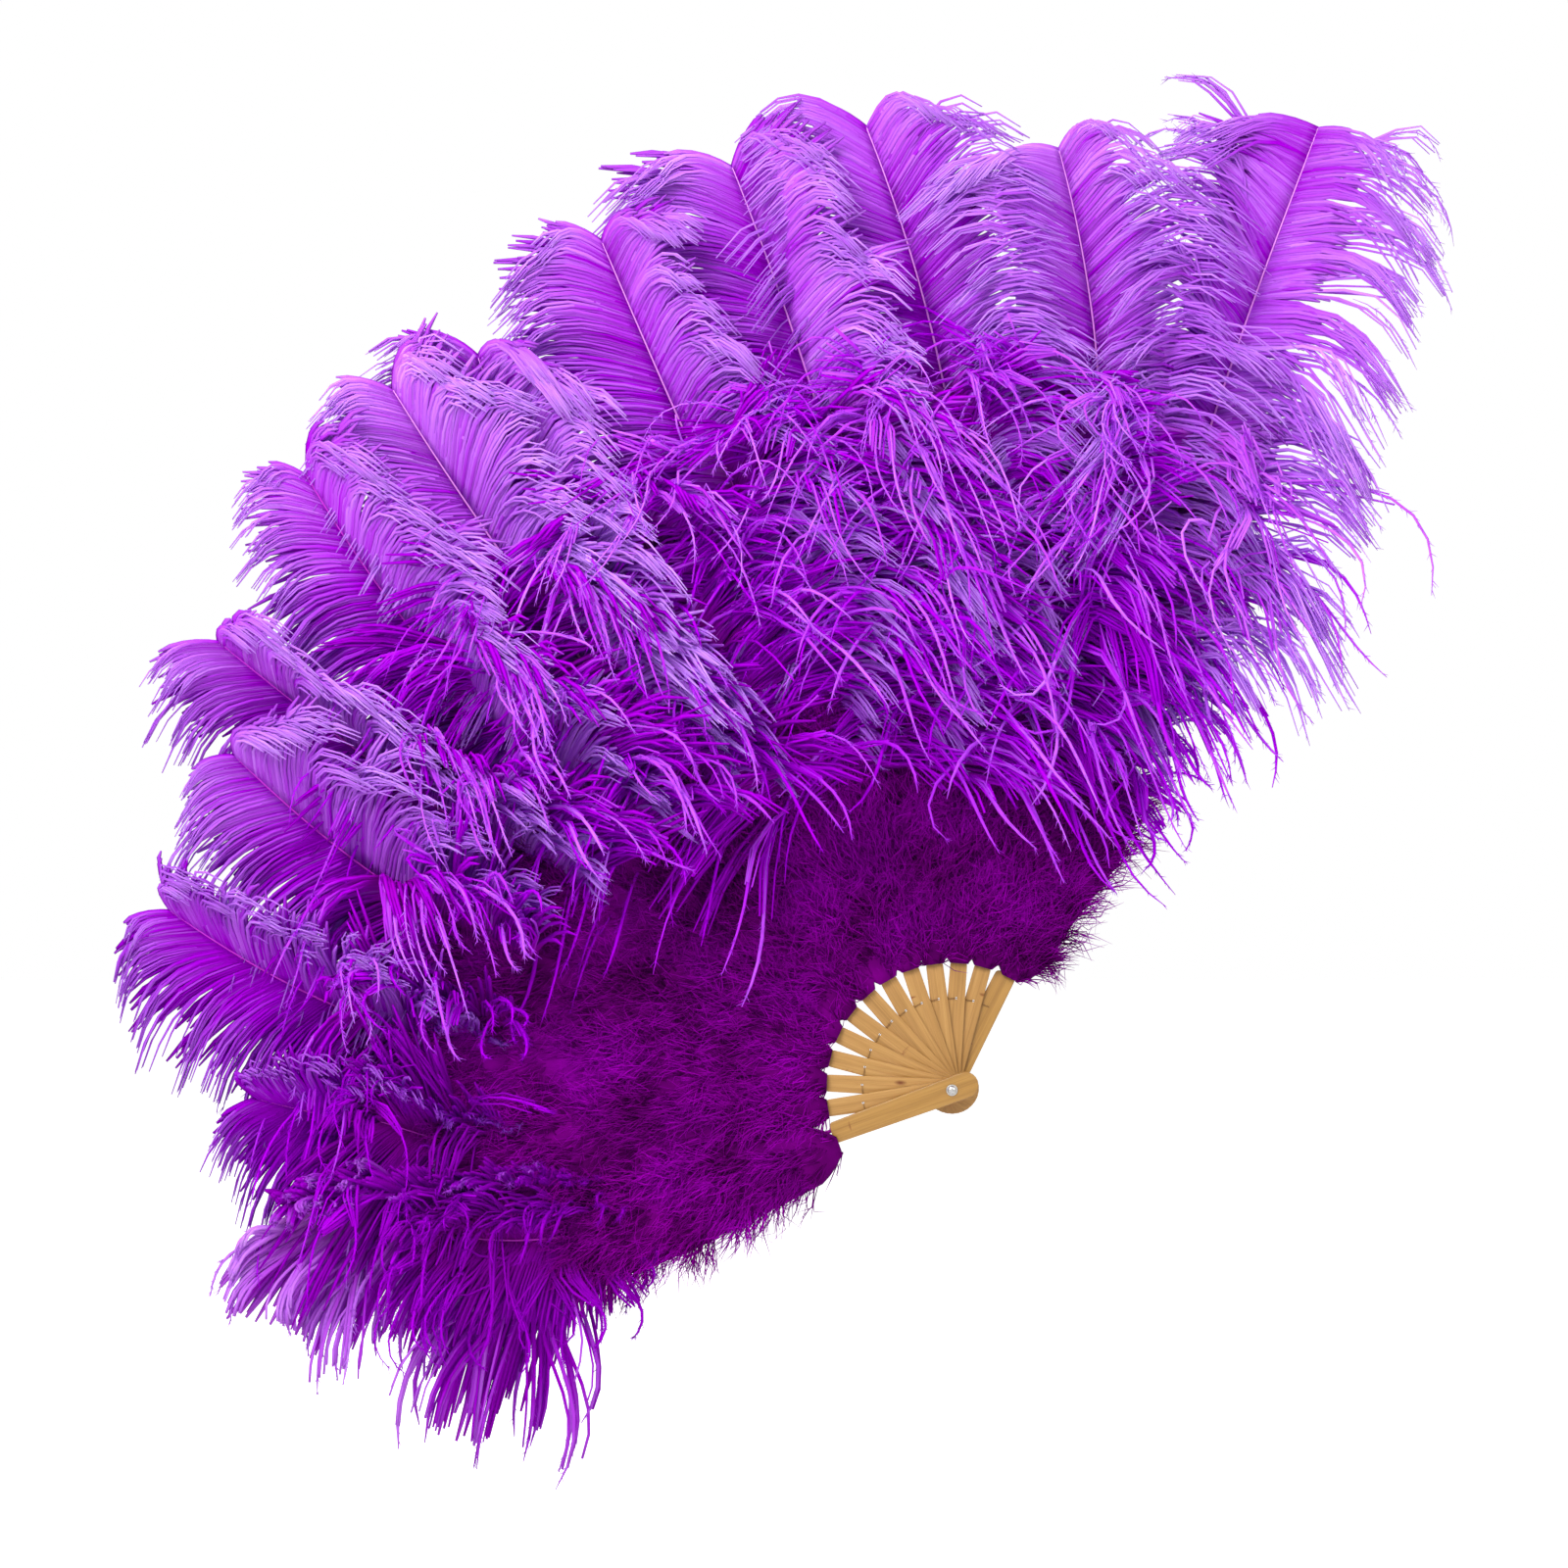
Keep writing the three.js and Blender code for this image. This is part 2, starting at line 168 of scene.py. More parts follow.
def eased_copy(node, name, ease):
    """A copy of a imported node's mesh as a new piece, its flat faces made whole and its edges rounded."""
    mesh = frame["nodes"][node].data.copy()
    mesh.materials.clear()
    piece = bpy.data.objects.new(name, mesh)
    bpy.context.scene.collection.objects.link(piece)
    bpy.ops.object.select_all(action="DESELECT")
    bpy.context.view_layer.objects.active = piece
    piece.select_set(True)
    bpy.ops.object.mode_set(mode="EDIT")
    bpy.ops.mesh.select_all(action="SELECT")
    bpy.ops.mesh.remove_doubles(threshold=0.01 * MM)
    bpy.ops.mesh.dissolve_limited(angle_limit=math.radians(2))
    bpy.ops.object.mode_set(mode="OBJECT")
    edge = piece.modifiers.new("eased edges", "BEVEL")
    edge.width = ease * MM
    edge.segments = 3
    edge.limit_method = "ANGLE"
    edge.angle_limit = math.radians(40)
    bpy.ops.object.modifier_apply(modifier=edge.name)
    bpy.ops.object.shade_smooth_by_angle(angle=math.radians(35))
    return piece


def grain_of(leaf, mesh):
    """Each point's place in the grain: across its stick, behind the stick's front and along it."""
    points = np.empty(3 * len(mesh.vertices))
    mesh.vertices.foreach_get("co", points)
    x, y, z = points.reshape(-1, 3).T / MM
    across = x * math.cos(leaf.angle) + z * math.sin(leaf.angle)
    along = z * math.cos(leaf.angle) - x * math.sin(leaf.angle)
    return np.stack([across, y - leaf.front, along], axis=1) + GRAIN_STEP * leaf.number


planed_bamboo = bamboo("planed_bamboo", "#C29656", "#B28446", "#9A7038", 0.46, 0.0)
polished_bamboo = bamboo("polished_bamboo", "#BC9048", "#AA7D39", "#92682C", 0.36, 0.25)
for leaf in leaves:
    guard = leaf.number in (1, STICK_COUNT)
    slat = eased_copy(leaf.stick, f"{leaf.stick}_slat", GUARD_EASE if guard else STAVE_EASE)
    slat.data.materials.append(polished_bamboo if guard else planed_bamboo)
    grain = slat.data.attributes.new("grain", "FLOAT_VECTOR", "POINT")
    grain.data.foreach_set("vector", grain_of(leaf, slat.data).ravel())
    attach(slat, leaf.body)
    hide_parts(leaf.stick)


# The rivet and its two washers are bright plated steel. The head is a low dome pressed on at the front, and
# the plain end is peened over in the rear guard.
STEEL_EASE = 0.15

# Plated steel: bright, with fine handling scratches that break up what it mirrors.
plated_steel = new_material("plated_steel")
place = add_node(plated_steel, "ShaderNodeTexCoord").outputs["Object"]
scratches = add_node(plated_steel, "ShaderNodeTexNoise", {
    "Vector": place, "Scale": 1 / (0.8 * MM), "Detail": 4.0,
})
steel_rough = add_node(plated_steel, "ShaderNodeMapRange", {
    "Value": scratches.outputs["Fac"], "To Min": 0.18, "To Max": 0.4,
})
steel_colour = colours_along(plated_steel, scratches.outputs["Fac"], [(0.3, "#B4B2AE"), (0.7, "#DAD9D6")])
steel_bump = add_node(plated_steel, "ShaderNodeBump", {
    "Height": scratches.outputs["Fac"], "Strength": 0.15, "Distance": 0.05 * MM,
})
steel_shader = add_node(plated_steel, "ShaderNodeBsdfPrincipled", {
    "Base Color": steel_colour, "Metallic": 1.0, "Roughness": steel_rough.outputs["Result"],
    "Normal": steel_bump.outputs["Normal"],
})
add_node(plated_steel, "ShaderNodeOutputMaterial", {"Surface": steel_shader.outputs["BSDF"]})

for node in ("rivet_pin", "front_washer", "rear_washer"):
    turned = eased_copy(node, f"{node}_steel", STEEL_EASE)
    turned.data.materials.append(plated_steel)
    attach(turned, "rear_leaf")
    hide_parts(node)


# Each plume is one dyed ostrich feather. Its shaft is a tapering quill, glued behind the stick, that nods
# forward towards the tip. Soft barbs leave it in two dense rows, arch over and hang, and cling in strings.
QUILL_FROM = 74  # from the rivet to the quills' feet
QUILL_HALF_WIDTH = 1.5
SHAFT_STEPS = 60
BEND_FROM = 160  # where the shafts start to bend forward
BEND_LENGTH = 120
DISH_SLOPE = 0.27  # beyond the bend
VANE_TILT = math.radians(12)  # each vane's right side lies in front of the next vane's left side
NOD_FROM = 0.8  # share of the shaft
DOWN_OVERLAP = 80  # how far the marabou reaches over the vanes
BARB_STEPS = 12
SHORTEST_BARB = 20
BENDS = 10  # sag, curl and wandering are given as the turn in a tenth of a barb
SWAY = (2.2, 4.5)  # how far the two parts of a barb's wandering swing round along it, in radians
CLING_LENGTH = 0.5  # share of a barb in which it is drawn to its string
UNRULY = {1: 2.2, 2: 1.6, 3: 1.3, STICK_COUNT: 1.7}  # leaves whose strings stray more than the rest
BARBULE_LENGTH = (3, 7.5)  # least and most
BARBULE_HALF_WIDTH = (0.4, 0.08)  # at its root and its end
FLUFF_STEPS = 5
FLUFF_BEHIND = 1.5  # behind the barbs' roots
ROOM = ((-620, 40, 428, 30), (-152, 50, 8, 8), (-332, 40, 754, 30))  # least, its ease, most, its ease
DOWN = np.array([0.0, -0.12, -1.0])
OVER = np.array([0.0, -0.7, -1.0])
FACING = np.array([0.0, -1.0, 0.0])


def unit(vectors):
    return vectors / np.linalg.norm(vectors, axis=-1, keepdims=True)


def fan_point(leaf, radius, angle, depth):
    """A point of the open fan, from its distance to the rivet, its angle and its depth behind a leaf's front."""
    return np.stack([-radius * np.sin(angle), leaf.front + depth, radius * np.cos(angle)], axis=-1)


def grow(roots, heading, length, steps, sag, curl, wander):
    """Paths of barbs that leave their roots on a heading, wander a little, sag and curl over at their ends."""
    paths = np.empty((len(roots), steps + 1, 3))
    paths[:, 0] = roots
    heading = unit(heading)
    for step in range(steps):
        share = (step + 1) / steps
        sway = wander[0] * math.cos(SWAY[0] * share) + wander[1] * math.sin(SWAY[1] * share)
        bend = sag * share + curl * share ** 5 + share * sway
        heading = unit(heading + bend * BENDS / steps)
        paths[:, step + 1] = paths[:, step] + heading * (length / steps)[:, None]
    return paths


def cling(paths, string, pull, start):
    """Draws the barbs of each string together, from a share of their length on, to run side by side. Gives the
    barbs, and the line along the middle of each string."""
    count = np.bincount(string)
    middle = np.zeros((len(count), *paths.shape[1:]))
    np.add.at(middle, string, paths)
    middle /= np.maximum(count, 1)[:, None, None]
    share = np.clip((np.linspace(0, 1, paths.shape[1]) - start) / CLING_LENGTH, 0, 1)
    share = share * share * (3 - 2 * share)
    return paths + (middle[string] - paths) * (pull[:, None] * share)[:, :, None], middle


def held_in(paths):
    """Presses what would stand too far out softly into the room that the open fan takes."""
    pressed = []
    for axis, (least, least_ease, most, most_ease) in enumerate(ROOM):
        places = paths[..., axis]
        low = least + least_ease
        high = most - most_ease
        places = np.where(places < low, low + least_ease * np.tanh((places - low) / least_ease), places)
        places = np.where(places > high, high + most_ease * np.tanh((places - high) / most_ease), places)
        pressed.append(places)
    return np.stack(pressed, axis=-1)


def tubes(paths, half_width, half_depth, corners):
    """Rings of corners round each path, from root to end. A tube of four corners lies flat to the viewer, and any
    other turns a ridge to the viewer."""
    along = unit(np.gradient(paths, axis=1))
    side = unit(np.cross(FACING, along))
    ridge = np.cross(along, side)
    turn = (np.pi / 4 if corners == 4 else np.pi / 2) + 2 * np.pi * np.arange(corners) / corners
    wide = (half_width[..., None] * np.cos(turn))[..., None] * side[:, :, None, :]
    deep = (half_depth[..., None] * np.sin(turn))[..., None] * ridge[:, :, None, :]
    return paths[:, :, None, :] + wide + deep


def feather_piece(name, bundles):
    """One mesh from bundles of tubes, each closed at both ends. A bundle is its rings, a tone for each tube, its
    material and the stretch of a whole barb that its tubes are. Each point keeps its way along, and its tone,
    which holds the painted light and shade where a bundle has any."""
    points, loops, sizes, slots, along, tones_and_shades = [], [], [], [], [], []
    materials = []
    start = 0
    for rings, tone_and_shade, material, stretch in bundles:
        if material not in materials:
            materials.append(material)
        count, steps, corners, _ = rings.shape
        index = start + np.arange(count * steps * corners).reshape(count, steps, corners)
        beside = np.roll(index, -1, axis=2)
        quads = np.stack([index[:, :-1], beside[:, :-1], beside[:, 1:], index[:, 1:]], axis=-1).reshape(-1)
        caps = np.concatenate([index[:, 0, ::-1].reshape(-1), index[:, -1].reshape(-1)])
        loops += [quads, caps]
        sizes += [np.full(len(quads) // 4, 4), np.full(2 * count, corners)]
        slots.append(np.full(len(quads) // 4 + 2 * count, materials.index(material)))
        points.append(rings.reshape(-1, 3) * MM)
        share = np.linspace(*stretch, steps)[None, :, None]
        along.append(np.broadcast_to(share, (count, steps, corners)).reshape(-1))
        tones_and_shades.append(np.broadcast_to(tone_and_shade[:, None, None], (count, steps, corners)).reshape(-1))
        start += count * steps * corners
    sizes = np.concatenate(sizes)
    loops = np.concatenate(loops)
    mesh = bpy.data.meshes.new(name)
    mesh.vertices.add(start)
    mesh.vertices.foreach_set("co", np.concatenate(points).ravel())
    mesh.loops.add(len(loops))
    mesh.loops.foreach_set("vertex_index", loops)
    mesh.polygons.add(len(sizes))
    mesh.polygons.foreach_set("loop_start", np.concatenate([[0], np.cumsum(sizes)[:-1]]))
    mesh.polygons.foreach_set("material_index", np.concatenate(slots))
    mesh.polygons.foreach_set("use_smooth", np.ones(len(sizes), bool))
    mesh.update(calc_edges=True)
    for attribute, values in (("along", along), ("tone_and_shade", tones_and_shades)):
        mesh.attributes.new(attribute, "FLOAT", "POINT").data.foreach_set("value", np.concatenate(values))
    for material in materials:
        mesh.materials.append(material)
    piece = bpy.data.objects.new(name, mesh)
    bpy.context.scene.collection.objects.link(piece)
    return piece


def dyed_barb(name, root, middle, end, blotch, fade, through):
    """Dyed barbs: deep magenta where they are packed at the shaft, bright violet at the airy ends, each barb a
    little lighter or darker than the next, by chance and by painted light and shade: the tone that each point
    keeps makes it lighter and paler, or darker and more saturated. Their fluff lets a share of the light through
    and hardly shines. The real fluff is finer than 0.1 mm, and is drawn about 1 mm wide so that it shows."""
    material = new_material(name)
    along = add_node(material, "ShaderNodeAttribute", attribute_name="along").outputs["Fac"]
    tone_and_shade = add_node(material, "ShaderNodeAttribute", attribute_name="tone_and_shade").outputs["Fac"]
    place = add_node(material, "ShaderNodeTexCoord").outputs["Object"]
    dye = add_node(material, "ShaderNodeTexNoise", {"Vector": place, "Scale": 1 / (60 * MM), "Detail": 3.0})
    shifted = add_node(material, "ShaderNodeMapRange", {
        "Value": dye.outputs["Fac"], "From Min": 0.3, "From Max": 0.7, "To Min": -blotch, "To Max": blotch,
    })
    share = add_node(material, "ShaderNodeMath", {0: along, 1: shifted.outputs["Result"]}, operation="ADD")
    colour = colours_along(material, share.outputs["Value"], [(0.0, root), (0.4, middle), (0.95, end)])
    # Painted light and shade: each point's tone sets its lightness and saturation, so that points given a low
    # tone come out darker and deeper in colour.
    value = add_node(material, "ShaderNodeMapRange", {"Value": tone_and_shade, "To Min": 0.6, "To Max": 1.25})
    depth = add_node(material, "ShaderNodeMapRange", {"Value": tone_and_shade, "To Min": 1.3, "To Max": fade})
    varied = add_node(material, "ShaderNodeHueSaturation", {
        "Color": colour, "Value": value.outputs["Result"], "Saturation": depth.outputs["Result"],
    })
    fuzz = add_node(material, "ShaderNodeTexNoise", {"Vector": place, "Scale": 1 / (1.2 * MM), "Detail": 2.0})
    bump = add_node(material, "ShaderNodeBump", {
        "Height": fuzz.outputs["Fac"], "Strength": 0.4, "Distance": 0.3 * MM,
    })
    surface = add_node(material, "ShaderNodeBsdfPrincipled", {
        "Base Color": varied.outputs["Color"], "Roughness": 0.65, "Normal": bump.outputs["Normal"],
        "Specular IOR Level": 0.02,
    })
    glow = add_node(material, "ShaderNodeBsdfTranslucent", {"Color": varied.outputs["Color"]})
    shader = add_node(material, "ShaderNodeMixShader", {
        "Fac": through, 1: surface.outputs["BSDF"], 2: glow.outputs["BSDF"],
    })
    add_node(material, "ShaderNodeOutputMaterial", {"Surface": shader.outputs["Shader"]})
    return material


def dyed_quill(name, foot, tip):
    """A dyed quill: smooth horn, deep magenta where it is thick and pink where it thins and lets light in."""
    material = new_material(name)
    along = add_node(material, "ShaderNodeAttribute", attribute_name="along").outputs["Fac"]
    colour = colours_along(material, along, [(0.3, foot), (0.95, tip)])
    place = add_node(material, "ShaderNodeTexCoord").outputs["Object"]
    ribs = add_node(material, "ShaderNodeTexNoise", {"Vector": place, "Scale": 1 / (2 * MM), "Detail": 2.0})
    rough = add_node(material, "ShaderNodeMapRange", {
        "Value": ribs.outputs["Fac"], "To Min": 0.3, "To Max": 0.5,
    })
    shader = add_node(material, "ShaderNodeBsdfPrincipled", {
        "Base Color": colour, "Roughness": rough.outputs["Result"], "Specular IOR Level": 0.15,
    })
    add_node(material, "ShaderNodeOutputMaterial", {"Surface": shader.outputs["BSDF"]})
    return material


def dish(radius):
    """How far in front of its stick a feather lies, at a distance from the rivet."""
    bend = np.clip(radius - BEND_FROM, 0, BEND_LENGTH)
    return DISH_SLOPE * (bend ** 2 / (2 * BEND_LENGTH) + np.maximum(0, radius - BEND_FROM - BEND_LENGTH))


def shaft_path(leaf, kind, bow, nod):
    """A plume's shaft, from its glued foot to its end. It lies flat to where it bends, then curves forward along
    the dish that all the plumes share, and nods at the tip."""
    length, tip_angle = kind.tips[leaf.number - 1]
    step = length / (SHAFT_STEPS - 1)
    radius = np.full(SHAFT_STEPS, float(QUILL_FROM))
    forward = np.zeros(SHAFT_STEPS)
    for at in range(1, SHAFT_STEPS):
        pitch = math.atan(DISH_SLOPE * min(max((radius[at - 1] - BEND_FROM) / BEND_LENGTH, 0.0), 1.0))
        pitch += nod * max(0.0, (at / SHAFT_STEPS - NOD_FROM) / (1 - NOD_FROM)) ** 1.5
        radius[at] = radius[at - 1] + step * math.cos(pitch)
        forward[at] = forward[at - 1] + step * math.sin(pitch)
    bent = np.clip((radius - BEND_FROM) / (radius[-1] - BEND_FROM), 0, 1)
    lean = math.radians(tip_angle) - leaf.angle
    angle = leaf.angle + lean * bent ** 1.3 + bow * np.sin(np.pi * bent) - kind.offset / radius
    return fan_point(leaf, radius, angle, kind.depth - forward)


def down_reach(leaf):
    """How far from the rivet the marabou of a leaf reaches."""
    return np.interp(leaf.number, [1, 2, 4, 6, 8, 13], [340, 410, 420, 385, 340, 300])


def waves(rng, place):
    """A smooth random swing along a shaft, mostly between -1 and 1, of a slow, a middling and a quick wave."""
    turns = rng.uniform([0.8, 2.0, 5.0], [1.6, 4.0, 8.0])
    phase = rng.uniform(0, 2 * np.pi, 3)
    height = np.array([0.7, 0.45, 0.25])
    return np.sin(2 * np.pi * np.outer(place, turns) + phase) @ height


Row = namedtuple("Row", "leaf kind side up down place root tangent normal out string stringy whim own")


def barb_row(rng, leaf, kind, side, shaft, tilt):
    """The barbs on one side of a shaft: how far that side faces up or down, where along the vane each barb
    stands, which string it clings to, how stringy it is, and what its string and the barb itself do by chance."""
    end = QUILL_FROM + kind.tips[leaf.number - 1][0]
    foot = max(kind.vane_from, down_reach(leaf) - DOWN_OVERLAP)
    count = int((end - foot) / kind.spacing)
    place = (np.arange(count) + rng.uniform(0.1, 0.9, count)) / count
    at = foot + place * (end - foot)
    walked = np.linspace(QUILL_FROM, end, SHAFT_STEPS)
    along = unit(np.gradient(shaft, axis=0))
    root = np.stack([np.interp(at, walked, shaft[:, axis]) for axis in range(3)], axis=1)
    tangent = unit(np.stack([np.interp(at, walked, along[:, axis]) for axis in range(3)], axis=1))
    normal = unit(FACING - tangent * (tangent @ FACING)[:, None])
    out = side * (math.cos(tilt) * np.cross(tangent, normal) + math.sin(tilt) * normal)

    string = np.cumsum(rng.uniform(0, 1, count) < 1 / kind.string)
    string -= string[0]
    lock = np.cumsum(rng.uniform(0, 1, count) < 1 / kind.lock)
    whim = 0.75 * rng.normal(0, 1, (string[-1] + 1, 10))[string]
    whim += 0.65 * rng.normal(0, 1, (lock[-1] + 1, 10))[lock]
    own = rng.normal(0, 1, (count, 10))
    stringy = np.interp(place, [0.35, 0.7], [1, 1 if leaf.number in (1, STICK_COUNT) else kind.head])
    up = max(0, side) * max(0, math.sin(leaf.angle))
    down = max(0, -side * math.sin(leaf.angle))
    return Row(leaf, kind, side, up, down, place, root, tangent, normal, out, string, stringy, whim, own)


def barb_heading(rng, row):
    """The way that barbs leave the shaft: aside at its foot, more along it near the tip, and a little forward."""
    leaf, kind, place = row.leaf, row.kind, row.place
    foot = np.interp(leaf.number, [3, 5, 10, 12], [1.25, kind.spread[0], kind.spread[0], 1.0])
    spread = np.interp(place, [0, 0.7, 1], [foot, *kind.spread[1:]]) * (1 - 0.4 * row.up * place)
    spread += 0.1 * waves(rng, place) + 0.012 * row.own[:, 0]
    forward = kind.forward + 0.12 * waves(rng, place) + 0.012 * row.own[:, 1] + 0.15 * row.up
    if leaf.number == STICK_COUNT:
        spread += (0.55 - 0.25 * row.side) * np.clip((place - 0.75) / 0.25, 0, 1)
        forward += 0.15
    aside = np.cos(spread)[:, None] * row.tangent + np.sin(spread)[:, None] * row.out
    return aside + forward[:, None] * row.normal


def barb_reach(rng, row):
    """How long barbs are. They hang longer on a side that faces the ground, and are cut short on the upper side
    of the lowest leaves, where the next plume lies over them."""
    leaf, kind, place = row.leaf, row.kind, row.place
    longer = kind.hang_right if row.side > 0 else kind.hang_front if leaf.number == 1 else kind.hang_left
    reach = kind.barb * (1 + row.down * np.interp(place, [0, 0.18, 0.5, 1], longer))
    reach *= np.interp(place, [0, 0.25, 0.7, 0.9, 1], kind.outline)
    reach *= np.interp(leaf.number, [1, 5, 9], [kind.low, kind.low, 1])
    chance = 0.1 * waves(rng, place) + 0.12 * row.whim[:, 2] + (0.06 + 0.05 * row.up) * row.own[:, 2]
    reach *= np.clip(1 + chance, 0.5, 1.45)
    if leaf.number < 4:
        reach *= 1 - 0.7 * row.up * np.clip(1 - place / 0.4, 0, 1)
    if leaf.number == 1:
        reach *= 1 - 0.45 * row.up
    return np.clip(reach, SHORTEST_BARB, None)


def barb_bend(rng, row):
    """How barbs sag, wander and curl, and how loose each one is. On a side that faces up they arch outwards, and
    none wanders far to the back."""
    kind, place, whim, own = row.kind, row.place, row.whim, row.own
    chance = 0.25 * waves(rng, place) + 0.4 * row.stringy * whim[:, 3] + 0.08 * own[:, 3]
    sag = np.clip(1 + chance, 0.1, 1.8) * np.interp(place, [0, 0.4, 0.8], kind.sag)
    sag *= 1 + 1.2 * row.up * place
    sag = sag[:, None] * (DOWN + row.up * (kind.arch * row.out + 0.4 * FACING))
    stray = (UNRULY.get(row.leaf.number, 1) * kind.stray * row.stringy)[:, None]
    wander = [
        stray * (0.09 * whim[:, 4:7] + 0.03 * own[:, 4:7]),
        stray * (0.12 * whim[:, 7:10] + 0.05 * own[:, 7:10]),
    ]
    loose = rng.uniform(0, 1, len(place))
    wander = [np.where(loose[:, None] < 0.05, 1.6 * each, each) for each in wander]
    wander = [np.where((each > 0) & (FACING < 0), 0.25 * each, each) for each in wander]
    curl = (kind.curl * np.clip(1 + 0.5 * waves(rng, place), 0, 2))[:, None] * (OVER + 0.9 * row.out)
    return sag, curl, wander, loose


def ropes(rng, kind, paths, place, base_tone_and_shade, flue):
    """The strings of barbs that cling together towards their ends, downy all over."""
    count, points, _ = paths.shape
    share = np.linspace(0, 1, points)
    shape = np.interp(share, [0, 0.3, 0.6, 0.85, 1], [0.3, 0.85, 1, 0.7, 0.2])
    width = kind.rope * shape * rng.uniform(0.7, 1.25, (count, 1)) * rng.uniform(0.85, 1.15, (count, points))
    width *= np.interp(place, [0.4, 1], [1, 0.6])[:, None]
    # Each string takes the mean tone of its barbs, their painted light and shade included, with a little chance.
    tone_and_shade = np.clip(base_tone_and_shade + 0.03 + rng.normal(0, 0.12, count), 0, 1)
    down_at = rng.uniform(0.15, 0.98, (count, kind.downy)) * (points - 1)
    step = down_at.astype(int)
    each = np.arange(count)[:, None]
    ahead = paths[each, step + 1] - paths[each, step]
    foot = (paths[each, step] + ahead * (down_at - step)[..., None]).reshape(-1, 3)
    point = unit(unit(ahead).reshape(-1, 3) + 0.75 * unit(rng.normal(0, 1, (len(foot), 3))))
    barbule = np.stack([foot, foot + point * rng.uniform(*BARBULE_LENGTH, (len(foot), 1))], axis=1)
    thin = np.broadcast_to(BARBULE_HALF_WIDTH, (len(foot), 2))
    return [
        (tubes(paths, width, 0.6 * width, 5), tone_and_shade, flue, (0.6, 1.0)),
        (tubes(barbule, thin, thin, 3), np.repeat(tone_and_shade, kind.downy), flue, (0.8, 1.0)),
    ]


def vane(rng, row, base_tone_and_shade, flue):
    """One side of a plume: its barbs, the strings that they cling in, and the fluff that closes it behind. Barbs
    that stand out in front, and those near the tip, are painted lighter, and those that lie deep or near the foot
    darker: painted light and shade."""
    leaf, kind, place = row.leaf, row.kind, row.place
    heading = barb_heading(rng, row)
    reach = barb_reach(rng, row)
    sag, curl, wander, loose = barb_bend(rng, row)
    pull = np.where(loose < 0.1, 0.2, np.clip(kind.pull * row.stringy + 0.15 * row.whim[:, 0], 0, 0.95))
    free = grow(row.root, heading, reach, BARB_STEPS, sag, curl, wander)
    paths, lines = cling(free, row.string, pull, kind.cling_from)
    paths = held_in(paths)

    middle = paths[:, BARB_STEPS // 2]
    lift = leaf.front - middle[:, 1] - dish(np.hypot(middle[:, 0], middle[:, 2]))
    barb_tone_and_shade = base_tone_and_shade + np.clip((lift - 20) / 150, -0.25, 0.25) + 0.3 * (place - 0.6)
    # Painted light on the side of the lowest plume that hangs towards the ground, and painted shade on the other
    # plumes of leaves 1 and 2, most on the upper side that the next plume covers.
    if kind is FRINGE:
        barb_tone_and_shade += 0.4 * row.down
    elif leaf.number < 3:
        barb_tone_and_shade -= 0.1 + 0.15 * row.up
    tone_and_shade = np.clip(barb_tone_and_shade + 0.08 * row.stringy * row.whim[:, 9] + 0.09 * row.own[:, 9], 0, 1)
    rings = np.array(kind.rings)
    shape = np.interp(rings / BARB_STEPS, [0, 0.15, 0.5, 0.8, 1], [0.8, 1, 0.85, *kind.thin])
    width = kind.half_width * shape[None, :] * rng.uniform(0.75, 1.25, (len(place), 1))
    barbs = tubes(paths[:, rings], 1.2 * width, 0.4 * width, 4)
    bundles = [(barbs, tone_and_shade, flue, (0.0, rings[-1] / BARB_STEPS))]

    size = np.bincount(row.string)
    line_place = np.bincount(row.string, place) / size
    line_tone_and_shade = np.bincount(row.string, barb_tone_and_shade) / size
    tied = np.interp(line_place, place, row.stringy) > 0.5
    lines = held_in(lines[tied, kind.rope_from:])
    bundles += ropes(rng, kind, lines, line_place[tied], line_tone_and_shade[tied], flue)

    few = slice(0, len(place), 2)
    full = rng.uniform(0.65, 0.85) if leaf.number < 11 else rng.uniform(0.35, 0.55)
    behind = row.root[few] - FLUFF_BEHIND * row.normal[few]
    still = np.zeros((2, *behind.shape))
    fluff = grow(behind, heading[few], full * reach[few], FLUFF_STEPS, 0.35 * sag[few], still[0], still)
    shape = np.interp(np.linspace(0, 1, FLUFF_STEPS + 1), [0, 0.3, 0.8, 1], [0.8, 1, 0.8, 0.3])
    width = 2.0 * kind.half_width * shape[None, :] * rng.uniform(0.8, 1.2, (len(behind), 1))
    # Painted shade: the fluff behind the barbs is drawn darker than they are, by the kind's deep.
    fluff_tone_and_shade = np.clip(tone_and_shade[few] - kind.deep, 0, 1)
    bundles.append((tubes(held_in(fluff), width, 0.2 * width, 3), fluff_tone_and_shade, flue, (0.0, 0.6)))
    return bundles


def press_when_closed(piece):
    """Gives a piece its own copy of its mesh. In the closed fan a leaf's feathers would lie pressed against its
    stick; they are not pressed here.
    """
    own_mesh(piece)


